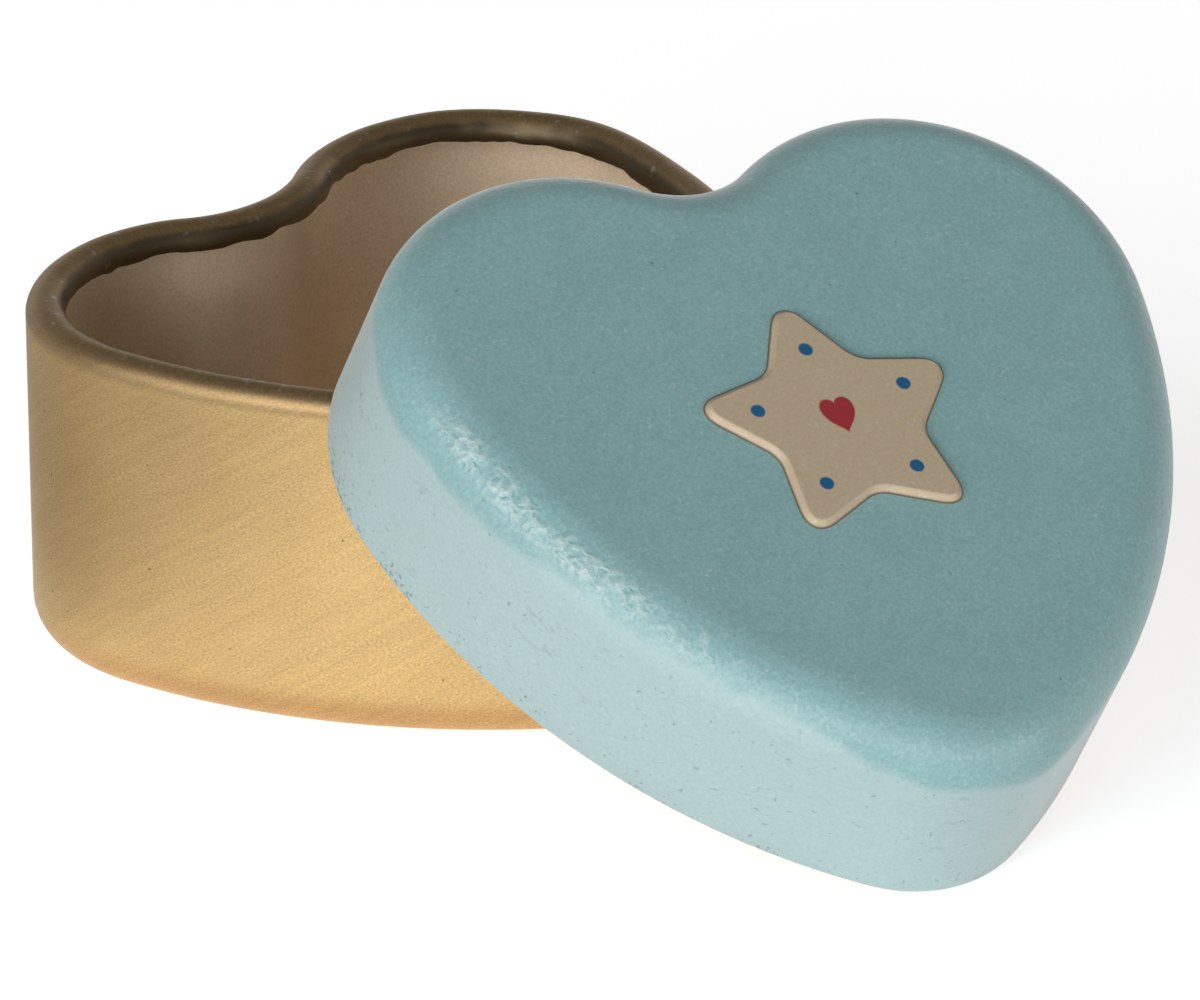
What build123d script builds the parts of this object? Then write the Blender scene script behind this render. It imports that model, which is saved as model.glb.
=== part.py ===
"""Heart-shaped keepsake tin for milk teeth: a drawn cup and a slip-on lid, with the lid taken off.

The lid leans on the cup as it was put down: its tip stands on the table and the rim of its left lobe
lies on the cup's left rim. Lengths are in millimetres and angles in degrees. The origin is on the
cup's flat underside, level with the centres of the heart's lobes. +Y points to the heart's notch,
-Y to its tip and +Z up.
"""
import os
from math import asin, atan2, cos, degrees, hypot, radians, sin, sqrt, tan

from build123d import *

os.makedirs("parts", exist_ok=True)

# Tinplate that both halves are pressed from
sheet = 0.25

# Heart outline of the lid, made of arcs that run smoothly into each other
lid_width = 50.0
lobe_centre_x = 11.15
notch_radius = 7.05
side_radius = 42.2
tip_centre_y = 23.65
tip_radius = 9.6

# Lid
lid_height = 13.4
lid_edge_radius = 3.4
lid_curl_radius = 0.6
lid_curl_turn = 270.0

# Base cup
base_height = 22.1
base_edge_radius = 2.6
base_curl_radius = 1.2
base_curl_turn = 200.0
slip_clearance = 0.64

# Ornament pressed up from the lid: a plain five-pointed star, one point towards the notch
star_points = 5
star_centre_y = -8.5
star_tip_reach = 9.6
star_waist_reach = 5.2
star_tip_round = 1.3
star_waist_round = 1.6
emboss_height = 0.4
emboss_slope = 45.0

# Where the lid leans: angles round the lid's left lobe and the cup's left side arc, and how it is turned
lid_rest_angle = 140.0
base_rest_angle = 210.95
lean_heading = -12.15
lid_spin = -5.5
lean_clearance = 0.1
table_clearance = 0.02
lean_steps = 12

# The ornament's sloped sides, and how much smaller it is on the sheet's underside
emboss_run = emboss_height / tan(radians(emboss_slope))
under_inset = sheet * tan(radians(emboss_slope / 2))

# The lid's rim has to pass over the cup, so the cup is smaller all round by the lid's curl and the slip
base_inset = 2 * lid_curl_radius + slip_clearance

# Places worked out from the outline's arcs
lobe_radius = lid_width / 2 - lobe_centre_x
notch_y = sqrt((lobe_radius + notch_radius) ** 2 - lobe_centre_x**2)
lobe_to_side = side_radius - lobe_radius
tip_to_side = side_radius - tip_radius
lobe_to_tip = hypot(lobe_centre_x, tip_centre_y)
along = (lobe_to_side**2 - tip_to_side**2 + lobe_to_tip**2) / (2 * lobe_to_tip)
across = sqrt(lobe_to_side**2 - along**2)
side_x = lobe_centre_x - (along * lobe_centre_x + across * tip_centre_y) / lobe_to_tip
side_y = (across * lobe_centre_x - along * tip_centre_y) / lobe_to_tip

# Angles of the right half at which one arc gives way to the next, seen from the arcs' own centres
tip_angle = degrees(atan2(-tip_centre_y - side_y, -side_x))
lobe_angle = degrees(atan2(-side_y, lobe_centre_x - side_x))
notch_angle = degrees(atan2(notch_y, -lobe_centre_x))


def heart_outline(plane, inset):
    """The heart as a closed wire, smaller than the lid's outline by inset all round."""
    with BuildLine(plane) as outline:
        CenterArc((0, -tip_centre_y), tip_radius - inset, -180 - tip_angle, 180 + 2 * tip_angle)
        CenterArc((side_x, side_y), side_radius - inset, tip_angle, lobe_angle - tip_angle)
        CenterArc((lobe_centre_x, 0), lobe_radius - inset, lobe_angle, notch_angle - lobe_angle)
        CenterArc((0, notch_y), notch_radius + inset, notch_angle - 180, 180 - 2 * notch_angle)
        CenterArc((-lobe_centre_x, 0), lobe_radius - inset, 180 - notch_angle, notch_angle - lobe_angle)
        CenterArc((-side_x, side_y), side_radius - inset, 180 - lobe_angle, lobe_angle - tip_angle)
    return outline.wire()


def heart_face(plane, inset):
    """The area inside the heart outline."""
    with BuildSketch(plane) as face:
        make_face(heart_outline(Plane.XY, inset).edges())
    return face.sketch


def wall_section(outline, up, height, edge_radius, curl_radius, curl_turn):
    """The pressed sheet cut across: a rounded edge, a straight wall and a rim curled inwards."""
    start = outline % 0
    with BuildSketch(Plane(outline @ 0, x_dir=start.cross(up), z_dir=-start)) as section:
        with BuildLine():
            outer_edge = CenterArc((-edge_radius, edge_radius), edge_radius, -90, 90)
            inner_edge = CenterArc((-edge_radius, edge_radius), edge_radius - sheet, -90, 90)
            outer_curl = CenterArc((-curl_radius, height - curl_radius), curl_radius, 0, curl_turn)
            inner_curl = CenterArc((-curl_radius, height - curl_radius), curl_radius - sheet, 0, curl_turn)
            Line(outer_edge @ 1, outer_curl @ 0)
            Line(inner_edge @ 1, inner_curl @ 0)
            Line(outer_edge @ 0, inner_edge @ 0)
            Line(outer_curl @ 1, inner_curl @ 1)
        make_face()
    return section.sketch


def star_face(plane, inset):
    """A five-pointed star with rounded points and waists, one point up."""
    corners = []
    rounds = []
    for step in range(2 * star_points):
        is_tip = step % 2 == 0
        reach = star_tip_reach if is_tip else star_waist_reach
        angle = radians(90 + step * 180 / star_points)
        corners.append((reach * cos(angle), star_centre_y + reach * sin(angle)))
        rounds.append(star_tip_round if is_tip else star_waist_round)
    with BuildSketch(plane) as star:
        with BuildLine():
            FilletPolyline(*corners, radius=rounds, close=True)
        make_face()
        if inset:
            offset(amount=-inset)
    return star.sketch


def ring_point(centre_x, centre_y, radius, angle):
    """A point on an arc of a rim's centre line."""
    return Vector(centre_x + radius * cos(radians(angle)), centre_y + radius * sin(radians(angle)))


# The two rims cross where the lid leans: the middle of each curl there, and its direction
lid_curl_middle = ring_point(-lobe_centre_x, 0, lobe_radius - lid_curl_radius, lid_rest_angle)
lid_curl_along = ring_point(0, 0, 1, lid_rest_angle + 90)
base_curl_inset = base_inset + base_curl_radius
base_curl_middle = ring_point(-side_x, side_y, side_radius - base_curl_inset, base_rest_angle)
base_curl_middle += Vector(0, 0, base_height - base_curl_radius)
base_curl_along = ring_point(0, 0, 1, base_rest_angle + 90)

# The lid's lowest point is on its tip, straight down the slope, and its rise to the crossing is known
lid_low_middle = ring_point(0, -tip_centre_y, tip_radius - lid_curl_radius, -90 - lid_spin)
up_slope = ring_point(0, 0, 1, 90 - lid_spin)
slope_length = (lid_curl_middle - lid_low_middle).dot(up_slope)
curl_spacing = base_curl_radius + lid_curl_radius + lean_clearance


def leaning(tilt):
    """The lid's turn in space at a tilt."""
    return Rotation(0, 0, lean_heading) * Rotation(tilt, 0, 0) * Rotation(0, 0, lid_spin)


def turned(vector, turn):
    """A direction of the lid's own frame, as it lies in space."""
    return (turn * Location(vector)).position


# The tilt and the way from one curl to the other depend on each other, and settle in a few steps
lean_tilt = 0.0
for _ in range(lean_steps):
    between = base_curl_along.cross(turned(lid_curl_along, leaning(lean_tilt))).normalized()
    between = between if between.Z > 0 else -between
    rise = base_curl_middle.Z + curl_spacing * between.Z - lid_curl_radius - table_clearance
    lean_tilt = degrees(asin(rise / slope_length))

lid_turn = leaning(lean_tilt)
lid_curl_local = lid_curl_middle + Vector(0, 0, lid_curl_radius)
lid_origin = base_curl_middle + between * curl_spacing - turned(lid_curl_local, lid_turn)
lid_rim = Plane(Location(lid_origin) * lid_turn)
lid_top = lid_rim.offset(lid_height)
lid_inward = Plane(lid_top.origin, x_dir=-lid_top.x_dir, z_dir=-lid_top.z_dir)

# Base cup: flat bottom, rounded bottom edge, straight wall, rim rolled over to the inside
with BuildPart() as base_tin:
    outline = heart_outline(Plane.XY, base_inset)
    section = wall_section(
        outline, Plane.XY.z_dir, base_height, base_edge_radius, base_curl_radius, base_curl_turn
    )
    sweep(sections=section, path=outline)
    extrude(heart_face(Plane.XY, base_inset + base_edge_radius), amount=sheet)

# Lid: flat top with the star pressed up, large rounded edge, short skirt, small curled rim
with BuildPart() as lid_tin:
    outline = heart_outline(lid_inward, 0)
    section = wall_section(
        outline, lid_inward.z_dir, lid_height, lid_edge_radius, lid_curl_radius, lid_curl_turn
    )
    sweep(sections=section, path=outline)
    extrude(heart_face(lid_inward, lid_edge_radius), amount=sheet)
    loft([star_face(lid_top, 0), star_face(lid_top.offset(emboss_height), emboss_run)], ruled=True)
    lid_under = lid_top.offset(-sheet)
    under_foot = star_face(lid_under, under_inset)
    under_roof = star_face(lid_under.offset(emboss_height), under_inset + emboss_run)
    loft([under_foot, under_roof], ruled=True, mode=Mode.SUBTRACT)

base_tin.part.label = "base_tin"
export_step(base_tin.part, "parts/base_tin.step")

lid_tin.part.label = "lid_tin"
export_step(lid_tin.part, "parts/lid_tin.step")

print("lean of the lid", round(lean_tilt, 2), "degrees")
print("lid rim origin", lid_rim.origin, "outward", lid_rim.z_dir, "to the notch", lid_rim.y_dir)
print("gap between lid and base", round(lid_tin.part.distance_to(base_tin.part), 3))
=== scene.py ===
"""Dresses the baby tooth box: a heart-shaped cup and its slip-on lid, which leans on the cup.

Each half is modelled as the press made it, from one sheet. The sheet's outer skin is drawn as a line
from the flat, round the rounded edge and along the wall into the curled rim. The line is turned round
the arcs of the heart, the flat is closed, and the skin gets the sheet's thickness. Sizes are metres.
"""
import math

import bmesh
import bpy
from mathutils import Matrix, Vector


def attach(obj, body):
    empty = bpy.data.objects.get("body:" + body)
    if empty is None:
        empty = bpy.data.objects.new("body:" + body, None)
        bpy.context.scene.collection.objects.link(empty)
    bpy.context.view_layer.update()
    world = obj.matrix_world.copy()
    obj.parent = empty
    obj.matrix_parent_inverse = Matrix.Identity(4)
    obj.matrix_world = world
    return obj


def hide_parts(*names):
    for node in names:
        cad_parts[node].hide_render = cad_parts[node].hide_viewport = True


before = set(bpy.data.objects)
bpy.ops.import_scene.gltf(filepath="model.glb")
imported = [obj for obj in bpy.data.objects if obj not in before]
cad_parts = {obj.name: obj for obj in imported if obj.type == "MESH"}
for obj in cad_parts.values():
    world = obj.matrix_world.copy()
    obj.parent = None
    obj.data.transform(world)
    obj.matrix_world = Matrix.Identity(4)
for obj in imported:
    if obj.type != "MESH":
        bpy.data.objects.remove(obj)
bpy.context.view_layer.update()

bl_info = {
    "name": "Baby tooth box",
    "version": (1, 0, 0),
    "blender": (4, 5, 0),
    "location": "3D View > Sidebar > Tooth box",
    "description": "Models and finishes a heart-shaped keepsake tin",
    "category": "Object",
}


def mm(size):
    """Millimetres as metres."""
    return size / 1000


def linear(code):
    """An sRGB hex colour as the linear colour that shaders and colour properties take."""
    channels = [int(code[place:place + 2], 16) / 255 for place in (1, 3, 5)]
    return [c / 12.92 if c <= 0.04045 else ((c + 0.055) / 1.055) ** 2.4 for c in channels]


def length(name, description, size):
    """A size in the panel, given in millimetres."""
    return bpy.props.FloatProperty(
        name=name, description=description, default=mm(size), min=0, unit="LENGTH", precision=5
    )


def angle(name, description, size):
    """An angle in the panel, given in degrees."""
    return bpy.props.FloatProperty(
        name=name, description=description, default=math.radians(size), unit="ROTATION"
    )


def colour(name, description, code):
    """A colour in the panel, given as an sRGB hex value."""
    return bpy.props.FloatVectorProperty(
        name=name, description=description, default=linear(code), subtype="COLOR", min=0, max=1
    )


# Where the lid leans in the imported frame: the point of its rim plane that lies midway between the
# lobes' centres, and its turn
lid_place = Vector((mm(0.8036230741), mm(-29.0748544899), mm(16.7703666393)))
lid_lean = (
    Matrix.Rotation(math.radians(-12.15), 3, "Z")
    @ Matrix.Rotation(math.radians(30.80667939), 3, "X")
    @ Matrix.Rotation(math.radians(-5.5), 3, "Z")
)

# The rim of the flat that is drawn in one line with the edge and the wall
flat_margin = mm(0.6)

# Material slots of both pieces. Only the lid has the last one, for the print on its star
outer_slot, inner_slot, cut_slot, print_slot = range(4)


class ToothBoxSizes(bpy.types.PropertyGroup):
    """Sizes of the tin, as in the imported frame."""

    sheet: length("Sheet", "Thickness of the tinplate", 0.25)
    lid_width: length("Lid width", "Width of the lid over both lobes", 50)
    lobe_centre: length("Lobe centre", "Half the distance between the lobes' centres", 11.15)
    notch_radius: length("Notch radius", "Radius of the heart's notch on the lid", 7.05)
    side_radius: length("Side radius", "Radius of the heart's sides on the lid", 42.2)
    tip_centre: length("Tip centre", "Distance from the lobes' centres to the tip's centre", 23.65)
    tip_radius: length("Tip radius", "Radius of the heart's tip on the lid", 9.6)
    lid_height: length("Lid height", "Height of the lid without the star", 13.4)
    lid_edge: length("Lid edge", "Radius of the lid's rounded edge", 3.4)
    lid_curl: length("Lid curl", "Radius of the lid's curled rim", 0.6)
    lid_curl_turn: angle("Lid curl turn", "How far the lid's rim is curled", 270)
    cup_inset: length("Cup inset", "How much smaller the cup is than the lid, all round", 1.84)
    cup_height: length("Cup height", "Height of the cup", 22.1)
    cup_edge: length("Cup edge", "Radius of the cup's rounded bottom edge", 2.6)
    cup_curl: length("Cup curl", "Radius of the cup's rolled rim", 1.2)
    cup_curl_turn: angle("Cup curl turn", "How far the cup's rim is rolled", 200)
    star_middle: length("Star middle", "Distance from the lobes' centres to the star's middle", 8.5)
    star_tip: length("Star tip", "Reach of the star's points before they are rounded", 9.6)
    star_waist: length("Star waist", "Reach of the star's waists before they are rounded", 5.2)
    star_tip_cut: length("Star point cut", "How far along its sides a point is rounded", 2.3)
    star_waist_cut: length("Star waist cut", "How far along its sides a waist is rounded", 0.73)
    star_height: length("Star height", "How far the star is pressed up", 0.4)
    rim_waves: length("Rim waves", "Height of the waves in the cut edge of the cup's rim", 0.45)


class ToothBoxColours(bpy.types.PropertyGroup):
    """Colours of the finishes."""

    gold: colour("Gold lacquer", "Tinted lacquer on the outside of the cup", "#CFB07B")
    inside: colour("Inside lacquer", "Beige-brown lacquer on the inside", "#EEDABD")
    enamel: colour("Enamel", "Blue-green enamel on the lid", "#8CB4B5")
    beige: colour("Star print", "Beige print on the star", "#C2AF93")
    blue: colour("Dot print", "Blue print of the star's dots", "#1F5F8B")
    red: colour("Heart print", "Red print of the star's small heart", "#A23237")
    # Painted shade: the darker band on the cup's bottom edge, for the shadowed floor that it reflects
    bottom_shade_colour: colour("Bottom band", "Thicker lacquer on the cup's bottom edge", "#B68D5C")
    # Partly crazed lacquer, and partly painted shade for the dark room that the rolled rim reflects
    rim_bronze_and_shade: colour("Rolled rim", "Crazed lacquer on the cup's rolled rim", "#775F44")
    # Also painted: the pale reflection on the lid's skirt, and the highlight on the seams of its
    # crazed round
    chalk_and_reflection: colour("Chalk", "Pale flecks and seams in the enamel, and bare tin", "#D3DEDD")
    grime: colour("Rubbing", "Grey-green chips, cracks and rubbing in the enamel", "#71807A")
    # Also painted shade, on the inner side of the cup's roll
    dust_and_shade: colour("Specks", "Dark specks, pits and outlines", "#4A4234")
    steel: colour("Cut tinplate", "Bare edge of the sheet", "#8C8276")
    floor: colour("Floor", "Studio floor", "#F4F4F4")


def heart_arcs(sizes):
    """Right half of the lid's outline from the tip to the notch: centre, radius, start and turn."""
    lobe = sizes.lid_width / 2 - sizes.lobe_centre
    notch = math.sqrt((lobe + sizes.notch_radius) ** 2 - sizes.lobe_centre**2)
    to_lobe = sizes.side_radius - lobe
    to_tip = sizes.side_radius - sizes.tip_radius
    apart = math.hypot(sizes.lobe_centre, sizes.tip_centre)
    along = (to_lobe**2 - to_tip**2 + apart**2) / (2 * apart)
    across = math.sqrt(to_lobe**2 - along**2)
    side_x = sizes.lobe_centre - (along * sizes.lobe_centre + across * sizes.tip_centre) / apart
    side_y = (across * sizes.lobe_centre - along * sizes.tip_centre) / apart
    tip_end = math.atan2(-sizes.tip_centre - side_y, -side_x)
    side_end = math.atan2(-side_y, sizes.lobe_centre - side_x)
    lobe_end = math.atan2(notch, -sizes.lobe_centre)
    return [
        ((0, -sizes.tip_centre), sizes.tip_radius, -math.pi / 2, tip_end + math.pi / 2),
        ((side_x, side_y), sizes.side_radius, tip_end, side_end - tip_end),
        ((sizes.lobe_centre, 0), lobe, side_end, lobe_end - side_end),
        ((0, notch), sizes.notch_radius, lobe_end - math.pi, math.pi / 2 - lobe_end),
    ]


def start_piece(name, place):
    """A new mesh that is a single point, in edit mode, ready to be drawn out."""
    bpy.ops.object.select_all(action="DESELECT")
    bpy.ops.mesh.primitive_plane_add(size=mm(1), location=place)
    bpy.ops.object.transform_apply(location=True, rotation=True, scale=True)
    piece = bpy.context.object
    piece.name = name
    piece.data.name = name
    bpy.ops.object.mode_set(mode="EDIT")
    bpy.ops.mesh.select_mode(type="VERT")
    bpy.ops.mesh.select_all(action="SELECT")
    bpy.ops.mesh.merge(type="CENTER")
    return piece


def draw_out(move, steps):
    """Extrudes the selected point in a straight line."""
    for _ in range(steps):
        step = Vector(move) / steps
        bpy.ops.mesh.extrude_region_move(TRANSFORM_OT_translate={"value": step})


def turn_round(centre, axis, turn, steps):
    """Spins the selection, right-handed about the axis. The operator itself turns the other way."""
    bpy.ops.mesh.spin(steps=steps, angle=turn, center=centre, axis=-Vector(axis), dupli=False)


def go_round_heart(sizes):
    """Turns the drawn line round the heart, arc after arc, and joins it up at the tip."""
    arc_step = mm(0.42)
    fewest_steps = 6
    right = [(centre, radius, turn) for centre, radius, _, turn in heart_arcs(sizes)]
    left = [((-centre[0], centre[1]), radius, turn) for centre, radius, turn in reversed(right)]
    bpy.ops.mesh.select_all(action="SELECT")
    for centre, radius, turn in right + left:
        steps = max(fewest_steps, round(abs(turn) * radius / arc_step))
        axis = (0, 0, 1) if turn > 0 else (0, 0, -1)
        turn_round((centre[0], centre[1], 0), axis, abs(turn), steps)
    bpy.ops.mesh.select_all(action="SELECT")
    bpy.ops.mesh.remove_doubles(threshold=mm(0.01))


def choose(piece, kind, wanted):
    """Selects the piece's verts, edges or faces for which wanted is true, and nothing else."""
    bpy.ops.mesh.select_mode(type={"verts": "VERT", "edges": "EDGE", "faces": "FACE"}[kind])
    bpy.ops.mesh.select_all(action="DESELECT")
    mesh = bmesh.from_edit_mesh(piece.data)
    for part in getattr(mesh, kind):
        if wanted(part):
            part.select_set(True)
    bmesh.update_edit_mesh(piece.data)


def modifier(piece, kind, **settings):
    """Adds a modifier with its settings and applies it."""
    added = piece.modifiers.new(kind.title(), kind)
    for name, value in settings.items():
        setattr(added, name, value)
    bpy.ops.object.modifier_apply(modifier=added.name)


def thicken(piece, sheet):
    """Gives the skin the sheet's thickness: outer finish, inner finish and bare cut edge."""
    modifier(
        piece,
        "SOLIDIFY",
        thickness=sheet,
        offset=-1,
        use_even_offset=True,
        material_offset=inner_slot,
        material_offset_rim=cut_slot,
    )


def wave(piece, name, weight, size, strength):
    """Moves points up and down by a cloudy noise, each as much as weight says for its place."""
    group = piece.vertex_groups.new(name=name)
    for vertex in piece.data.vertices:
        share = weight(vertex.co)
        if share > 0:
            group.add([vertex.index], min(share, 1), "REPLACE")
    clouds = bpy.data.textures.new(name, "CLOUDS")
    clouds.noise_scale = size
    clouds.noise_depth = 1
    modifier(
        piece,
        "DISPLACE",
        texture=clouds,
        texture_coords="LOCAL",
        direction="Z",
        mid_level=0.5,
        strength=strength,
        vertex_group=name,
    )
    piece.vertex_groups.remove(piece.vertex_groups[name])


def heart_place(arcs, x, y):
    """Where a point lies on the heart: way along the lid's outline from the tip, and inset from it."""
    # Angles on the arcs begin straight down, so one that lies before that is a turn further on
    before_start = -math.pi / 2 - 0.01
    walked = 0
    for centre, radius, start, turn in arcs:
        at = math.atan2(y - centre[1], abs(x) - centre[0])
        reach = math.hypot(y - centre[1], abs(x) - centre[0])
        if turn < 0:
            return walked + radius * max(0, min(start - at, -turn)), reach - radius
        if at < before_start:
            at += 2 * math.pi
        if at < start + turn:
            return walked + radius * (at - start), radius - reach
        walked += radius * turn


def lay_out(piece, sizes):
    """Notes each point's way round the heart and height in a UV map, and its inset, in metres."""
    arcs = heart_arcs(sizes)
    round_trip = 2 * sum(radius * abs(turn) for _, radius, _, turn in arcs)
    points = piece.data.vertices
    places = [heart_place(arcs, point.co.x, point.co.y) for point in points]
    wall = piece.data.uv_layers.new(name="wall")
    for face in piece.data.polygons:
        for corner in face.loop_indices:
            point = piece.data.loops[corner].vertex_index
            walked = places[point][0]
            if face.center.x < 0:
                walked = round_trip - walked
            wall.data[corner].uv = (walked, points[point].co.z)
    inset = piece.data.attributes.new("inset", "FLOAT", "POINT")
    for point, (_, depth) in zip(inset.data, places):
        point.value = depth


def finish_piece(piece, body, replaced):
    """Smooth shading, and its place in the frame."""
    bpy.ops.object.shade_smooth_by_angle(angle=math.radians(40))
    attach(piece, body)
    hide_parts(replaced)


def add(owner, kind, inputs=None, **settings):
    """Adds a node to a material or the world, with its settings and links.

    An input is a value, an output, or a whole node for its first output in use.
    """
    node = owner.node_tree.nodes.new(kind)
    for name, value in settings.items():
        setattr(node, name, value)
    for name, value in (inputs or {}).items():
        if isinstance(value, bpy.types.Node):
            value = next(output for output in value.outputs if output.enabled)
        if isinstance(value, bpy.types.NodeSocket):
            owner.node_tree.links.new(value, node.inputs[name])
        else:
            node.inputs[name].default_value = value
    return node


def start_material(name):
    """A material without any node."""
    material = bpy.data.materials.new(name)
    material.use_nodes = True
    material.node_tree.nodes.clear()
    return material


def opaque(paint):
    """A colour of the panel with the alpha that a node's colour input takes."""
    return tuple(paint) + (1,)


def mottle(material, paint, place, size, detail, low, high):
    """Paint made darker and lighter, from low to high times, by a cloudy noise of a real size.

    Gives the noise too. The size is 1 where a Mapping node has scaled the place already.
    """
    noise = add(
        material, "ShaderNodeTexNoise", {"Vector": place, "Scale": 1 / size, "Detail": detail}
    )
    tone = add(
        material,
        "ShaderNodeMapRange",
        {"Value": noise, "From Min": 0.3, "From Max": 0.7, "To Min": low, "To Max": high},
    )
    mottled = add(
        material,
        "ShaderNodeMix",
        {0: 1.0, 6: paint, 7: tone},
        data_type="RGBA",
        blend_type="MULTIPLY",
    )
    return noise, mottled


def fleck(material, paint, place, chalk_and_reflection, ridge, strength):
    """Paint with pale hair-like flecks, about 0.6 mm long: the ridges of a strongly swirled noise."""
    swirl = add(
        material,
        "ShaderNodeTexNoise",
        {"Vector": place, "Scale": 1 / mm(0.6), "Detail": 2, "Distortion": 2.5},
    )
    flecks = add(
        material,
        "ShaderNodeMapRange",
        {"Value": swirl, "From Min": ridge, "From Max": 0.72, "To Min": 0, "To Max": strength},
    )
    return add(material, "ShaderNodeMix", {0: flecks, 6: paint, 7: chalk_and_reflection}, data_type="RGBA")


def spots(material, cells, radius, rarity, strength):
    """Spots in the middle of those cells of a Voronoi texture whose chance is over rarity."""
    near = add(
        material, "ShaderNodeMath", {0: cells.outputs["Distance"], 1: radius}, operation="LESS_THAN"
    )
    chance = add(material, "ShaderNodeSeparateColor", {0: cells.outputs["Color"]})
    few = add(material, "ShaderNodeMath", {0: chance, 1: rarity}, operation="GREATER_THAN")
    spotted = add(material, "ShaderNodeMath", {0: near, 1: few}, operation="MULTIPLY")
    return add(material, "ShaderNodeMath", {0: spotted, 1: strength}, operation="MULTIPLY")


def away_from(material, value, middle):
    """How far a value is from a middle one, to either side."""
    beyond = add(material, "ShaderNodeMath", {0: value, 1: middle}, operation="SUBTRACT")
    return add(material, "ShaderNodeMath", {0: beyond}, operation="ABSOLUTE")


def gold_lacquer(colours):
    """Gold-tinted lacquer rolled on tinplate: a satin metal with a fine grain and drawing streaks."""
    material = start_material("satin gold lacquer on tinplate")
    place = add(material, "ShaderNodeTexCoord").outputs["Object"]
    wall = add(material, "ShaderNodeUVMap", uv_map="wall")
    height = add(material, "ShaderNodeSeparateXYZ", {0: wall}).outputs["Y"]
    inset = add(material, "ShaderNodeAttribute", attribute_name="inset").outputs["Fac"]
    gold = opaque(colours.gold)
    bottom_shade_colour = opaque(colours.bottom_shade_colour)
    rim_bronze_and_shade = opaque(colours.rim_bronze_and_shade)
    dust_and_shade = opaque(colours.dust_and_shade)
    tin = opaque(colours.chalk_and_reflection)

    # Painted shade: a darker, warmer band on the rounded bottom edge, where the wall reflects the
    # shadowed floor by the cup's foot
    bottom_shade = add(
        material,
        "ShaderNodeMapRange",
        {"Value": height, "From Min": mm(1.6), "From Max": mm(3.2), "To Min": 0.5, "To Max": 0},
        interpolation_type="SMOOTHSTEP",
    )
    painted = add(material, "ShaderNodeMix", {0: bottom_shade, 6: gold, 7: bottom_shade_colour}, data_type="RGBA")
    # The rolled rim is darker bronze: partly crazed lacquer, and partly painted shade for the dark
    # room that the rim reflects
    most = 0.6
    crazed = add(
        material,
        "ShaderNodeMapRange",
        {"Value": height, "From Min": mm(20.5), "From Max": mm(21.3), "To Min": 0, "To Max": most},
        interpolation_type="SMOOTHSTEP",
    )
    painted = add(material, "ShaderNodeMix", {0: crazed, 6: painted, 7: rim_bronze_and_shade}, data_type="RGBA")

    # Grain of the rolled sheet under the lacquer, 0.21 mm long and 0.12 mm wide, rising round the wall
    rise = math.radians(32)
    grain_place = add(
        material,
        "ShaderNodeMapping",
        {"Vector": wall, "Rotation": (0, 0, rise), "Scale": (mm(0.21), mm(0.12), 1)},
        vector_type="TEXTURE",
    )
    grain, painted = mottle(material, painted, grain_place, 1, 2, 0.8, 1.15)
    # Faint drawing streaks, 7 mm long and 0.5 mm wide
    streak_place = add(
        material,
        "ShaderNodeMapping",
        {"Vector": wall, "Rotation": (0, 0, rise), "Scale": (mm(7), mm(0.5), 1)},
        vector_type="TEXTURE",
    )
    _, painted = mottle(material, painted, streak_place, 1, 2, 0.95, 1.05)
    # Clouds of thicker and thinner lacquer, about 8 mm
    _, painted = mottle(material, painted, place, mm(8), 1, 0.96, 1.03)

    # Painted shade: the inner side of the roll is made dark brown, for the shade inside the roll and
    # the dark cup that it faces
    inner = add(
        material,
        "ShaderNodeMapRange",
        {"Value": inset, "From Min": mm(3.75), "From Max": mm(4.1), "To Min": 0, "To Max": 0.85},
        interpolation_type="SMOOTHSTEP",
    )
    upper = add(material, "ShaderNodeMath", {0: height, 1: mm(19)}, operation="GREATER_THAN")
    rolled = add(material, "ShaderNodeMath", {0: inner, 1: upper}, operation="MULTIPLY")
    painted = add(material, "ShaderNodeMix", {0: rolled, 6: painted, 7: dust_and_shade}, data_type="RGBA")

    # Dark specks up to 0.2 mm across, where dust sat in the lacquer, in two of five cells of 1.6 mm
    cells = add(material, "ShaderNodeTexVoronoi", {"Vector": place, "Scale": 1 / mm(1.6)})
    specks = spots(material, cells, radius=0.06, rarity=0.6, strength=0.5)
    painted = add(material, "ShaderNodeMix", {0: specks, 6: painted, 7: dust_and_shade}, data_type="RGBA")

    # Rubbed spots on the top and inner side of the roll, under 0.5 mm, where bright tin shows through
    rub = add(material, "ShaderNodeTexNoise", {"Vector": place, "Scale": 1 / mm(0.9), "Detail": 3})
    rub = add(
        material,
        "ShaderNodeMapRange",
        {"Value": rub, "From Min": 0.65, "From Max": 0.72, "To Min": 0, "To Max": 0.6},
    )
    on_top = add(
        material,
        "ShaderNodeMapRange",
        {"Value": inset, "From Min": mm(2.3), "From Max": mm(2.7), "To Min": 0, "To Max": 1},
    )
    for share in (crazed, on_top):
        rub = add(material, "ShaderNodeMath", {0: rub, 1: share}, operation="MULTIPLY")
    painted = add(material, "ShaderNodeMix", {0: rub, 6: painted, 7: tin}, data_type="RGBA")

    # Crazed lacquer is dull, and scatters some of the light itself
    shine = add(
        material,
        "ShaderNodeMapRange",
        {"Value": crazed, "From Min": 0, "From Max": most, "To Min": 1, "To Max": 0.75},
    )
    bump = add(material, "ShaderNodeBump", {"Height": grain, "Strength": 1, "Distance": mm(0.008)})
    shader = add(
        material,
        "ShaderNodeBsdfPrincipled",
        {"Base Color": painted, "Metallic": shine, "Roughness": 0.45, "Normal": bump},
    )
    add(material, "ShaderNodeOutputMaterial", {"Surface": shader})
    return material


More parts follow.
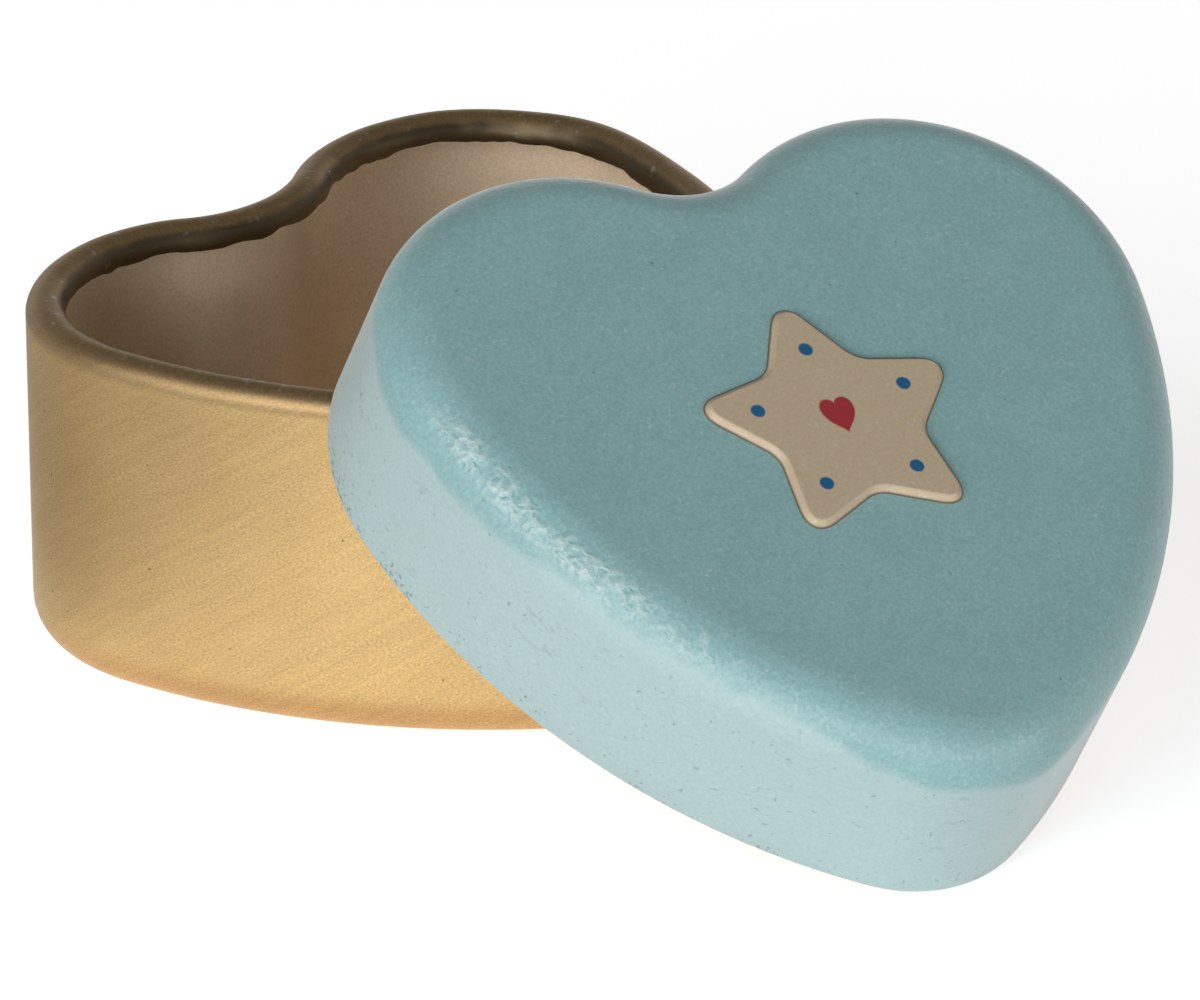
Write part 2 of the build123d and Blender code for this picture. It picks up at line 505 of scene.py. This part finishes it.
def inside_lacquer(colours):
    """Beige-brown protective lacquer inside both halves: slightly metallic, with a fine grain."""
    name = "beige-brown inside lacquer on tinplate"
    if name in bpy.data.materials:
        return bpy.data.materials[name]
    material = start_material(name)
    place = add(material, "ShaderNodeTexCoord").outputs["Object"]
    # Pigment grain, 0.18 mm, and soft clouds of 6 mm
    grain, painted = mottle(material, opaque(colours.inside), place, mm(0.18), 2, 0.9, 1.1)
    _, painted = mottle(material, painted, place, mm(6), 1, 0.94, 1.05)
    bump = add(material, "ShaderNodeBump", {"Height": grain, "Strength": 1, "Distance": mm(0.006)})
    shader = add(
        material,
        "ShaderNodeBsdfPrincipled",
        {"Base Color": painted, "Metallic": 0.15, "Roughness": 0.38, "Normal": bump},
    )
    add(material, "ShaderNodeOutputMaterial", {"Surface": shader})
    return material


def cut_edge(colours):
    """Bare cut edge of tinplate: dull grey steel with a little tin smeared over it."""
    name = "cut tinplate edge"
    if name in bpy.data.materials:
        return bpy.data.materials[name]
    material = start_material(name)
    place = add(material, "ShaderNodeTexCoord").outputs["Object"]
    # Smears of 0.3 mm
    _, worn = mottle(material, opaque(colours.steel), place, mm(0.3), 2, 0.6, 1.1)
    shader = add(
        material, "ShaderNodeBsdfPrincipled", {"Base Color": worn, "Metallic": 1, "Roughness": 0.4}
    )
    add(material, "ShaderNodeOutputMaterial", {"Surface": shader})
    return material


def lid_enamel(colours):
    """Matt blue-green enamel printed and baked on tinplate: chalk-flecked, mottled, crazed on the
    round. The pale skirt is a painted reflection and the pale seams a painted highlight.
    """
    material = start_material("matt blue-green enamel on tinplate")
    place = add(material, "ShaderNodeTexCoord").outputs["Object"]
    wall = add(material, "ShaderNodeUVMap", uv_map="wall")
    wall_place = add(material, "ShaderNodeSeparateXYZ", {0: wall}).outputs
    way = wall_place["X"]
    height = wall_place["Y"]
    chalk_and_reflection = opaque(colours.chalk_and_reflection)
    grime = opaque(colours.grime)
    dust_and_shade = opaque(colours.dust_and_shade)

    # Ways round the heart from its tip: to the middle of the left side, where the painted reflection
    # on the skirt reaches highest, and to the left lobe, where the lid is handled
    reflecting_side = mm(134)
    handled_lobe = mm(109)

    # Pigment mottling, 0.24 mm and 4 mm, and pale flecks
    grain, painted = mottle(material, opaque(colours.enamel), place, mm(0.24), 3, 0.88, 1.1)
    cloud, painted = mottle(material, painted, place, mm(4), 2, 0.97, 1.02)
    painted = fleck(material, painted, place, chalk_and_reflection, ridge=0.58, strength=0.22)

    # Painted reflection: the skirt is paler than the flat top, for the white floor that it reflects,
    # up to a wavy line on the round. On the left side the pale reaches further up
    from_side = away_from(material, way, reflecting_side)
    reach = add(
        material,
        "ShaderNodeMapRange",
        {"Value": from_side, "From Min": mm(7), "From Max": mm(17), "To Min": mm(1.4), "To Max": 0},
    )
    waves = mm(-1.5)
    level = add(material, "ShaderNodeMath", {0: height, 1: reach}, operation="SUBTRACT")
    level = add(
        material, "ShaderNodeMath", {0: cloud, 1: waves, 2: level}, operation="MULTIPLY_ADD"
    )
    drawn = add(
        material,
        "ShaderNodeMapRange",
        {"Value": level, "From Min": mm(9.1), "From Max": mm(10.1), "To Min": 0.4, "To Max": 0},
        interpolation_type="SMOOTHSTEP",
    )
    painted = add(material, "ShaderNodeMix", {0: drawn, 6: painted, 7: chalk_and_reflection}, data_type="RGBA")

    # Small ragged chips on the skirt, up to 0.4 mm, and more of them where the lid is handled
    warp = add(
        material, "ShaderNodeTexNoise", {"Vector": place, "Scale": 1 / mm(0.7), "Detail": 3}
    ).outputs["Color"]
    chip_warp = (mm(1.3),) * 3
    chip_place = add(
        material, "ShaderNodeVectorMath", {0: warp, 1: chip_warp, 2: wall}, operation="MULTIPLY_ADD"
    )
    chip_place = add(
        material,
        "ShaderNodeMapping",
        {"Vector": chip_place, "Scale": (mm(0.45), mm(0.3), 1)},
        vector_type="TEXTURE",
    )
    chip_cells = add(material, "ShaderNodeTexVoronoi", {"Vector": chip_place, "Scale": 1})
    from_lobe = away_from(material, way, handled_lobe)
    rarity = add(
        material,
        "ShaderNodeMapRange",
        {"Value": from_lobe, "From Min": mm(2), "From Max": mm(9), "To Min": 0.8, "To Max": 0.93},
    )
    on_skirt = add(
        material,
        "ShaderNodeMapRange",
        {"Value": height, "From Min": mm(9.5), "From Max": mm(12.5), "To Min": 0.5, "To Max": 0},
    )
    chips = spots(material, chip_cells, radius=0.27, rarity=rarity, strength=on_skirt)
    painted = add(material, "ShaderNodeMix", {0: chips, 6: painted, 7: grime}, data_type="RGBA")

    # Hair cracks on the skirt, under 0.1 mm wide: level lines of a stretched noise, in some places
    crack_place = add(
        material,
        "ShaderNodeMapping",
        {"Vector": wall, "Scale": (mm(2.6), mm(1.2), 1)},
        vector_type="TEXTURE",
    )
    cracks = add(material, "ShaderNodeTexNoise", {"Vector": crack_place, "Scale": 1, "Detail": 1})
    cracks = away_from(material, cracks, 0.5)
    cracks = add(
        material,
        "ShaderNodeMapRange",
        {"Value": cracks, "From Min": 0.004, "From Max": 0.016, "To Min": 0.42, "To Max": 0},
    )
    strained = add(
        material,
        "ShaderNodeMapRange",
        {"Value": cloud, "From Min": 0.52, "From Max": 0.6, "To Min": 0, "To Max": 1},
    )
    for share in (strained, on_skirt):
        cracks = add(material, "ShaderNodeMath", {0: cracks, 1: share}, operation="MULTIPLY")
    painted = add(material, "ShaderNodeMix", {0: cracks, 6: painted, 7: grime}, data_type="RGBA")

    # Dark pits up to 0.2 mm across, one in each cell of 2.5 mm
    pit_radius = 0.04
    pit_strength = 0.4
    pits = add(material, "ShaderNodeTexVoronoi", {"Vector": place, "Scale": 1 / mm(2.5)})
    pits = add(material, "ShaderNodeMath", {0: pits, 1: pit_radius}, operation="LESS_THAN")
    pits = add(material, "ShaderNodeMath", {0: pits, 1: pit_strength}, operation="MULTIPLY")
    painted = add(material, "ShaderNodeMix", {0: pits, 6: painted, 7: dust_and_shade}, data_type="RGBA")

    # A faint veil of grey-green rubbing near the curled rim, in patches of 7 mm
    veil_strength = 0.05
    patches = add(
        material, "ShaderNodeTexNoise", {"Vector": place, "Scale": 1 / mm(7), "Detail": 2}
    )
    patchy = add(
        material,
        "ShaderNodeMapRange",
        {"Value": patches, "From Min": 0.4, "From Max": 0.6, "To Min": 0.15, "To Max": 1},
    )
    low = add(
        material,
        "ShaderNodeMapRange",
        {"Value": height, "From Min": mm(0.3), "From Max": mm(3.4), "To Min": 1, "To Max": 0},
    )
    worn = add(material, "ShaderNodeMath", {0: low, 1: patchy}, operation="MULTIPLY")
    veil = add(material, "ShaderNodeMath", {0: worn, 1: veil_strength}, operation="MULTIPLY")
    painted = add(material, "ShaderNodeMix", {0: veil, 6: painted, 7: grime}, data_type="RGBA")

    # Dark dots of 0.2 mm near the curled rim, closest together in those patches and where the lid is
    # handled
    dot_strength = 0.45
    handled = add(
        material,
        "ShaderNodeMapRange",
        {"Value": from_lobe, "From Min": mm(2), "From Max": mm(8), "To Min": 1, "To Max": 0},
    )
    handled = add(material, "ShaderNodeMath", {0: low, 1: handled}, operation="MULTIPLY")
    dotted = add(material, "ShaderNodeMath", {0: worn, 1: handled}, operation="MAXIMUM")
    limit = add(
        material,
        "ShaderNodeMapRange",
        {"Value": dotted, "From Min": 0, "From Max": 1, "To Min": 0.8, "To Max": 0.54},
    )
    dots = add(material, "ShaderNodeTexNoise", {"Vector": place, "Scale": 1 / mm(0.3), "Detail": 1})
    dots = add(material, "ShaderNodeMath", {0: dots, 1: limit}, operation="GREATER_THAN")
    dots = add(material, "ShaderNodeMath", {0: dots, 1: dot_strength}, operation="MULTIPLY")
    painted = add(material, "ShaderNodeMix", {0: dots, 6: painted, 7: dust_and_shade}, data_type="RGBA")

    # The enamel crazed where the edge was pressed round: dished scales of 0.6 mm, all along the left
    # side, where the key lamp's highlight runs, and here and there elsewhere. Their pale seams are a
    # painted highlight
    scale_warp = (mm(1.1),) * 3
    scale_place = add(
        material, "ShaderNodeVectorMath", {0: warp, 1: scale_warp, 2: place}, operation="MULTIPLY_ADD"
    )
    scales = add(material, "ShaderNodeTexVoronoi", {"Vector": scale_place, "Scale": 1 / mm(0.6)})
    gaps = add(material, "ShaderNodeTexNoise", {"Vector": place, "Scale": 1 / mm(1.8), "Detail": 2})
    gaps = add(
        material,
        "ShaderNodeMapRange",
        {"Value": gaps, "From Min": 0.34, "From Max": 0.52, "To Min": 0.15, "To Max": 1},
    )
    start = add(
        material,
        "ShaderNodeMapRange",
        {"Value": way, "From Min": mm(111), "From Max": mm(116), "To Min": 0, "To Max": 1},
    )
    end = add(
        material,
        "ShaderNodeMapRange",
        {"Value": way, "From Min": mm(131), "From Max": mm(145), "To Min": 1, "To Max": 0},
    )
    elsewhere = 0.35
    along = add(material, "ShaderNodeMath", {0: start, 1: end}, operation="MULTIPLY")
    rest = add(material, "ShaderNodeMath", {0: patchy, 1: elsewhere}, operation="MULTIPLY")
    along = add(material, "ShaderNodeMath", {0: along, 1: rest}, operation="MAXIMUM")
    bend = add(
        material,
        "ShaderNodeMapRange",
        {"Value": height, "From Min": mm(11.4), "From Max": mm(12.4), "To Min": 0, "To Max": 1},
        interpolation_type="SMOOTHSTEP",
    )
    flat = add(
        material,
        "ShaderNodeMapRange",
        {"Value": height, "From Min": mm(13), "From Max": mm(13.35), "To Min": 1, "To Max": 0},
        interpolation_type="SMOOTHSTEP",
    )
    crazed = bend
    for share in (flat, along, gaps):
        crazed = add(material, "ShaderNodeMath", {0: crazed, 1: share}, operation="MULTIPLY")
    wrinkles = add(material, "ShaderNodeMath", {0: scales, 1: crazed}, operation="MULTIPLY")
    # Painted highlight: the seams of the scales are lightened along the crazed band
    seam_highlight = add(
        material,
        "ShaderNodeMapRange",
        {"Value": wrinkles, "From Min": 0.25, "From Max": 0.7, "To Min": 0, "To Max": 0.38},
    )
    painted = add(material, "ShaderNodeMix", {0: seam_highlight, 6: painted, 7: chalk_and_reflection}, data_type="RGBA")

    # The crazed band is a little shinier than the matt enamel round it
    polish = add(
        material,
        "ShaderNodeMapRange",
        {"Value": crazed, "From Min": 0, "From Max": 1, "To Min": 0.42, "To Max": 0.32},
    )
    bump = add(material, "ShaderNodeBump", {"Height": wrinkles, "Strength": 1, "Distance": mm(0.1)})
    bump = add(
        material,
        "ShaderNodeBump",
        {"Height": grain, "Strength": 1, "Distance": mm(0.01), "Normal": bump},
    )
    # The chalk on the enamel brightens at a shallow angle, which the sheen stands for
    shader = add(
        material,
        "ShaderNodeBsdfPrincipled",
        {
            "Base Color": painted,
            "Roughness": polish,
            "IOR": 1.55,
            "Sheen Weight": 0.8,
            "Sheen Roughness": 0.3,
            "Normal": bump,
        },
    )
    add(material, "ShaderNodeOutputMaterial", {"Surface": shader})
    return material


def star_print(colours, sizes):
    """Beige print on the raised star, with a ring of blue dots round a small red heart."""
    material = start_material("beige print on the star")
    place = add(material, "ShaderNodeTexCoord").outputs["Object"]
    wall = add(material, "ShaderNodeUVMap", uv_map="wall")
    height = add(material, "ShaderNodeSeparateXYZ", {0: wall}).outputs["Y"]
    blue = opaque(colours.blue)
    red = opaque(colours.red)
    dust_and_shade = opaque(colours.dust_and_shade)

    # The enamel's grain, but fainter, and its flecks
    grain, painted = mottle(material, opaque(colours.beige), place, mm(0.24), 3, 0.94, 1.05)
    painted = fleck(material, painted, place, opaque(colours.chalk_and_reflection), ridge=0.6, strength=0.25)

    # The star's own frame: the lid's turn, and the star's middle
    middle = lid_place + lid_lean @ Vector((0, -sizes.star_middle, sizes.lid_height))
    own = add(
        material,
        "ShaderNodeMapping",
        {"Vector": place, "Location": middle, "Rotation": lid_lean.to_euler()},
        vector_type="TEXTURE",
    )
    flat = add(material, "ShaderNodeSeparateXYZ", {0: own}).outputs

    # Five dots of 0.9 mm in a ring: the bearing from the middle is folded into one fifth of a turn
    ring = mm(5.2)
    fifth = 2 * math.pi / 5
    bearing = add(material, "ShaderNodeMath", {0: flat["X"], 1: flat["Y"]}, operation="ARCTAN2")
    folded = add(
        material, "ShaderNodeMath", {0: bearing, 1: fifth / 2, 2: -fifth / 2}, operation="WRAP"
    )
    reach = add(material, "ShaderNodeVectorMath", {0: own}, operation="LENGTH")
    across = add(material, "ShaderNodeMath", {0: folded}, operation="SINE")
    across = add(material, "ShaderNodeMath", {0: across, 1: reach}, operation="MULTIPLY")
    outward = add(material, "ShaderNodeMath", {0: reach, 1: ring}, operation="SUBTRACT")
    spot = add(material, "ShaderNodeCombineXYZ", {0: across, 1: outward})
    spot = add(material, "ShaderNodeVectorMath", {0: spot}, operation="LENGTH")
    dots = add(
        material,
        "ShaderNodeMapRange",
        {"Value": spot, "From Min": mm(0.4), "From Max": mm(0.5), "To Min": 1, "To Max": 0},
    )
    painted = add(material, "ShaderNodeMix", {0: dots, 6: painted, 7: blue}, data_type="RGBA")

    # A heart 2.2 mm wide: a circle whose middle line is lifted by the root of the sideways distance
    unit = mm(1)
    lift = 0.75
    side = add(material, "ShaderNodeMath", {0: flat["X"], 1: unit}, operation="DIVIDE")
    side = add(material, "ShaderNodeMath", {0: side}, operation="ABSOLUTE")
    root = add(material, "ShaderNodeMath", {0: side}, operation="SQRT")
    root = add(material, "ShaderNodeMath", {0: root, 1: lift}, operation="MULTIPLY")
    up = add(material, "ShaderNodeMath", {0: flat["Y"], 1: unit}, operation="DIVIDE")
    up = add(material, "ShaderNodeMath", {0: up, 1: root}, operation="SUBTRACT")
    shape = add(material, "ShaderNodeCombineXYZ", {0: side, 1: up})
    shape = add(material, "ShaderNodeVectorMath", {0: shape}, operation="LENGTH")
    heart = add(
        material,
        "ShaderNodeMapRange",
        {"Value": shape, "From Min": 1.05, "From Max": 1.15, "To Min": 1, "To Max": 0},
    )
    painted = add(material, "ShaderNodeMix", {0: heart, 6: painted, 7: red}, data_type="RGBA")

    # A thin brown line where the star rises from the lid
    foot = add(
        material,
        "ShaderNodeMapRange",
        {
            "Value": height,
            "From Min": sizes.lid_height + mm(0.02),
            "From Max": sizes.lid_height + mm(0.1),
            "To Min": 0.75,
            "To Max": 0,
        },
    )
    painted = add(material, "ShaderNodeMix", {0: foot, 6: painted, 7: dust_and_shade}, data_type="RGBA")
    bump = add(material, "ShaderNodeBump", {"Height": grain, "Strength": 1, "Distance": mm(0.01)})
    shader = add(
        material,
        "ShaderNodeBsdfPrincipled",
        {"Base Color": painted, "Roughness": 0.42, "Normal": bump},
    )
    add(material, "ShaderNodeOutputMaterial", {"Surface": shader})
    return material


class TOOTHBOX_OT_cup(bpy.types.Operator):
    """Model the cup: flat bottom, rounded bottom edge, straight wall and a rim rolled to the inside"""

    bl_idname = "toothbox.cup"
    bl_label = "Cup"

    def execute(self, context):
        sizes = context.scene.tooth_box_sizes
        colours = context.scene.tooth_box_colours
        reach = sizes.tip_centre + sizes.tip_radius - sizes.cup_inset
        edge = sizes.cup_edge
        curl = sizes.cup_curl
        curl_height = sizes.cup_height - curl
        near_floor = mm(0.1)
        cup = start_piece("cup", (0, edge + flat_margin - reach, 0))
        draw_out((0, -flat_margin, 0), steps=1)
        turn_round((0, edge - reach, edge), (-1, 0, 0), math.pi / 2, steps=9)
        draw_out((0, 0, curl_height - edge), steps=18)
        turn_round((0, curl - reach, curl_height), (-1, 0, 0), sizes.cup_curl_turn, steps=20)
        go_round_heart(sizes)
        choose(cup, "edges", lambda e: e.is_boundary and max(v.co.z for v in e.verts) < near_floor)
        bpy.ops.mesh.edge_face_add()
        bpy.ops.mesh.select_all(action="SELECT")
        bpy.ops.mesh.normals_make_consistent(inside=False)
        bpy.ops.object.mode_set(mode="OBJECT")

        # The rolled rim wanders a little, with the last 4 mm of the wall. Its cut edge is scalloped
        # where the roller bit: from 110 degrees round the roll, and fully from 80 degrees further on.
        # The noise seldom reaches its ends, so the waves need more strength than their height
        arcs = heart_arcs(sizes)
        wander_depth = mm(4)
        scallops_start = math.radians(110)
        scallops_grow = math.radians(80)
        scallop_gain = 1.3
        past_roll = math.radians(220)

        def rim(point):
            return (point.z - curl_height + wander_depth) / wander_depth

        def rolled_in(point):
            _, inset = heart_place(arcs, point.x, point.y)
            inward = inset - sizes.cup_inset - curl
            turned = math.atan2(point.z - curl_height, -inward) % (2 * math.pi)
            if point.z < curl_height - curl or turned > past_roll:
                return 0
            return (turned - scallops_start) / scallops_grow

        wave(cup, "rim wander", rim, size=mm(9), strength=mm(0.25))
        wave(cup, "scallops", rolled_in, size=mm(1.7), strength=sizes.rim_waves * scallop_gain)
        for material in (gold_lacquer(colours), inside_lacquer(colours), cut_edge(colours)):
            cup.data.materials.append(material)
        thicken(cup, sizes.sheet)
        lay_out(cup, sizes)
        finish_piece(cup, "base", "base_tin")
        return {"FINISHED"}


class TOOTHBOX_OT_lid(bpy.types.Operator):
    """Model the lid: flat top with a raised star, large rounded edge, short skirt and a curled rim"""

    bl_idname = "toothbox.lid"
    bl_label = "Lid"

    def execute(self, context):
        sizes = context.scene.tooth_box_sizes
        colours = context.scene.tooth_box_colours
        reach = sizes.tip_centre + sizes.tip_radius
        edge = sizes.lid_edge
        curl = sizes.lid_curl
        top = sizes.lid_height
        lid = start_piece("lid", (0, edge + flat_margin - reach, top))
        draw_out((0, -flat_margin, 0), steps=1)
        turn_round((0, edge - reach, top - edge), (1, 0, 0), math.pi / 2, steps=12)
        draw_out((0, 0, curl + edge - top), steps=10)
        turn_round((0, curl - reach, curl), (1, 0, 0), sizes.lid_curl_turn, steps=16)
        go_round_heart(sizes)

        # The star starts as ten corners, of which every other one is pulled in to a waist
        middle = Vector((0, -sizes.star_middle, top))
        corners = 10
        choose(lid, "verts", lambda v: False)
        bpy.ops.mesh.primitive_circle_add(vertices=corners, radius=sizes.star_tip, location=middle)

        def waist(corner):
            away = corner.co - middle
            bearing = math.atan2(away.y, away.x) - math.pi / 2
            step = round(bearing / (2 * math.pi / corners))
            return corner.is_wire and step % 2 == 1

        choose(lid, "verts", waist)
        shrink = sizes.star_waist / sizes.star_tip
        bpy.ops.transform.resize(value=(shrink, shrink, 1), center_override=middle)
        bpy.ops.mesh.bevel(offset=sizes.star_waist_cut, segments=6, affect="VERTICES")
        near_tip = 0.98 * sizes.star_tip
        choose(lid, "verts", lambda v: v.is_wire and (v.co - middle).length > near_tip)
        bpy.ops.mesh.bevel(offset=sizes.star_tip_cut, segments=8, affect="VERTICES")

        # The flat is filled between its edge and the star, and the star gets a face of its own
        def on_top(side):
            return min(v.co.z for v in side.verts) > top - mm(0.01)

        def on_star(side):
            return all((v.co - middle).length < sizes.star_tip for v in side.verts)

        choose(lid, "edges", lambda e: on_top(e) and (e.is_boundary or e.is_wire))
        bpy.ops.mesh.fill()
        choose(lid, "edges", lambda e: e.is_boundary and on_star(e))
        bpy.ops.mesh.edge_face_add()
        bpy.ops.mesh.select_all(action="SELECT")
        bpy.ops.mesh.normals_make_consistent(inside=False)

        # The star's face, the only one with so many corners, is pressed up. Its sides rise at about 45
        # degrees between soft edges, in steps that are shares of the star's height
        many_corners = 50
        choose(lid, "faces", lambda f: len(f.verts) > many_corners)
        for inwards, upwards in ((0.2, 0.05), (0.3, 0.325), (0.3, 0.375), (0.2, 0.2), (0.2, 0.05)):
            bpy.ops.mesh.inset(
                use_even_offset=True,
                thickness=sizes.star_height * inwards,
                depth=sizes.star_height * upwards,
            )
        bpy.ops.object.mode_set(mode="OBJECT")
        finishes = [lid_enamel(colours), inside_lacquer(colours), cut_edge(colours)]
        for material in finishes + [star_print(colours, sizes)]:
            lid.data.materials.append(material)
        thicken(lid, sizes.sheet)
        lay_out(lid, sizes)
        for face in lid.data.polygons:
            if face.center.z > top + mm(0.001) and face.material_index == outer_slot:
                face.material_index = print_slot
        lid.matrix_world = Matrix.Translation(lid_place) @ lid_lean.to_4x4()
        bpy.ops.object.transform_apply(location=True, rotation=True, scale=True)
        finish_piece(lid, "lid", "lid_tin")
        # The large flat faces keep their flat shading up to the star's foot
        modifier(lid, "WEIGHTED_NORMAL", keep_sharp=True)
        return {"FINISHED"}


def facing(azimuth, elevation):
    """Direction from the object to a place, where azimuth 0 is in front, looking along +Y."""
    turn = math.radians(azimuth)
    rise = math.radians(elevation)
    return Vector(
        (math.sin(turn) * math.cos(rise), -math.cos(turn) * math.cos(rise), math.sin(rise))
    )


def soft_lamp(name, azimuth, elevation, width, height, power):
    """A softbox that points at the object, and that the camera doesn't see."""
    middle = Vector((0, mm(-20), mm(15)))
    distance = 1.6
    away = facing(azimuth, elevation)
    bpy.ops.object.light_add(type="AREA", location=middle + away * distance)
    lamp = bpy.context.object
    lamp.name = name
    lamp.rotation_euler = away.to_track_quat("Z", "Y").to_euler()
    lamp.data.shape = "RECTANGLE"
    lamp.data.size = width
    lamp.data.size_y = height
    lamp.data.energy = power
    lamp.visible_camera = False


def studio_floor(colours):
    """White paper that keeps the object's shadow and is white in the background too."""
    material = start_material("white studio floor")
    path = add(material, "ShaderNodeLightPath").outputs
    place = add(material, "ShaderNodeTexCoord").outputs["Object"]
    white = opaque(colours.floor)

    # The camera sees plain white paper, and it throws its light back as such. In reflections the
    # paper falls off to grey at the cup's left, as if a dark card lay there
    cup_left = (-0.693, 0.721, 0)
    aside = add(material, "ShaderNodeVectorMath", {0: place, 1: cup_left}, operation="DOT_PRODUCT")
    falloff = add(
        material,
        "ShaderNodeMapRange",
        {"Value": aside, "From Min": mm(18), "From Max": mm(34), "To Min": 1, "To Max": 0.48},
        interpolation_type="SMOOTHSTEP",
    )
    for ray in ("Is Camera Ray", "Is Diffuse Ray"):
        falloff = add(material, "ShaderNodeMath", {0: falloff, 1: path[ray]}, operation="MAXIMUM")
    paint = add(
        material,
        "ShaderNodeMix",
        {0: 1.0, 6: white, 7: falloff},
        data_type="RGBA",
        blend_type="MULTIPLY",
    )
    paper = add(material, "ShaderNodeBsdfDiffuse", {"Color": paint})

    # The paper glows for the camera, in reflections and through glass only
    brightness = 0.68
    seen = path["Is Camera Ray"]
    for ray in ("Is Glossy Ray", "Is Transmission Ray"):
        seen = add(material, "ShaderNodeMath", {0: seen, 1: path[ray]}, operation="MAXIMUM")
    lift = add(material, "ShaderNodeMath", {0: seen, 1: brightness}, operation="MULTIPLY")
    lift = add(material, "ShaderNodeMath", {0: lift, 1: falloff}, operation="MULTIPLY")
    glow = add(material, "ShaderNodeEmission", {"Strength": lift})
    both = add(material, "ShaderNodeAddShader", {0: paper, 1: glow})
    add(material, "ShaderNodeOutputMaterial", {"Surface": both})
    return material


def studio_room():
    """A room that is dark above, with a white backdrop behind the object on its right."""
    world = bpy.data.worlds.new("studio")
    world.use_nodes = True
    world.node_tree.nodes.clear()
    direction = add(world, "ShaderNodeTexCoord").outputs["Generated"]
    height = add(world, "ShaderNodeSeparateXYZ", {0: direction}).outputs["Z"]
    shade = add(
        world,
        "ShaderNodeMapRange",
        {"Value": height, "From Min": 0.1, "From Max": 0.6, "To Min": 1, "To Max": 0.15},
    )
    behind = facing(azimuth=110, elevation=0)
    toward = add(world, "ShaderNodeVectorMath", {0: direction, 1: behind}, operation="DOT_PRODUCT")
    backdrop = add(
        world,
        "ShaderNodeMapRange",
        {"Value": toward, "From Min": -0.1, "From Max": 0.7, "To Min": 0.3, "To Max": 0.9},
    )
    shade = add(world, "ShaderNodeMath", {0: shade, 1: backdrop}, operation="MULTIPLY")
    sky = add(world, "ShaderNodeBackground", {"Color": (1, 1, 1, 1), "Strength": shade})
    add(world, "ShaderNodeOutputWorld", {"Surface": sky})
    return world


def photo_camera():
    """The camera at the photograph's viewing angle: a long lens, half a degree off level."""
    azimuth = -46.1443
    elevation = 25.0784
    roll = math.radians(0.48816)
    bpy.ops.object.camera_add(location=(-0.52477352, -0.524580998, 0.35139608))
    camera = bpy.context.object
    camera.name = "camera"
    toward = -facing(azimuth, elevation)
    level = Vector((math.cos(math.radians(azimuth)), math.sin(math.radians(azimuth)), 0))
    upright = level.cross(toward)
    right = level * math.cos(roll) - upright * math.sin(roll)
    up = upright * math.cos(roll) + level * math.sin(roll)
    camera.rotation_euler = Matrix((right, up, -toward)).transposed().to_euler()
    camera.data.sensor_width = 36
    camera.data.lens = 401.8242
    camera.data.clip_start = 0.05
    return camera


class TOOTHBOX_OT_stage(bpy.types.Operator):
    """Set the stage: white floor, soft studio lamps, the room and the camera"""

    bl_idname = "toothbox.stage"
    bl_label = "Stage"

    def execute(self, context):
        scene = context.scene
        bpy.ops.object.select_all(action="DESELECT")
        bpy.ops.mesh.primitive_plane_add(size=8, location=(0, 0, 0))
        floor = bpy.context.object
        floor.name = "floor"
        floor.data.materials.append(studio_floor(scene.tooth_box_colours))

        soft_lamp("key softbox", azimuth=-84, elevation=22, width=1.2, height=1.25, power=17)
        soft_lamp("front softbox", azimuth=-50, elevation=8, width=1.6, height=0.45, power=8.5)
        soft_lamp("fill softbox", azimuth=5, elevation=6, width=1.3, height=0.3, power=5)
        scene.world = studio_room()
        scene.camera = photo_camera()
        scene.view_settings.view_transform = "Standard"
        return {"FINISHED"}


class TOOTHBOX_PT_panel(bpy.types.Panel):
    """Sizes, colours and the pieces that they make"""

    bl_label = "Tooth box"
    bl_idname = "TOOTHBOX_PT_panel"
    bl_space_type = "VIEW_3D"
    bl_region_type = "UI"
    bl_category = "Tooth box"

    def draw(self, context):
        for group in (context.scene.tooth_box_sizes, context.scene.tooth_box_colours):
            column = self.layout.column(align=True)
            for name in group.__annotations__:
                column.prop(group, name)
        for operator in (TOOTHBOX_OT_cup, TOOTHBOX_OT_lid, TOOTHBOX_OT_stage):
            self.layout.operator(operator.bl_idname)


classes = (
    ToothBoxSizes,
    ToothBoxColours,
    TOOTHBOX_OT_cup,
    TOOTHBOX_OT_lid,
    TOOTHBOX_OT_stage,
    TOOTHBOX_PT_panel,
)


def register():
    """Makes the panel, its properties and its operators known to Blender."""
    for item in classes:
        bpy.utils.register_class(item)
    bpy.types.Scene.tooth_box_sizes = bpy.props.PointerProperty(type=ToothBoxSizes)
    bpy.types.Scene.tooth_box_colours = bpy.props.PointerProperty(type=ToothBoxColours)


def unregister():
    """Takes them away again."""
    del bpy.types.Scene.tooth_box_colours
    del bpy.types.Scene.tooth_box_sizes
    for item in reversed(classes):
        bpy.utils.unregister_class(item)


def main():
    """Models the pieces and sets the stage."""
    register()
    bpy.ops.toothbox.cup()
    bpy.ops.toothbox.lid()
    bpy.ops.toothbox.stage()


if __name__ == "__main__":
    main()
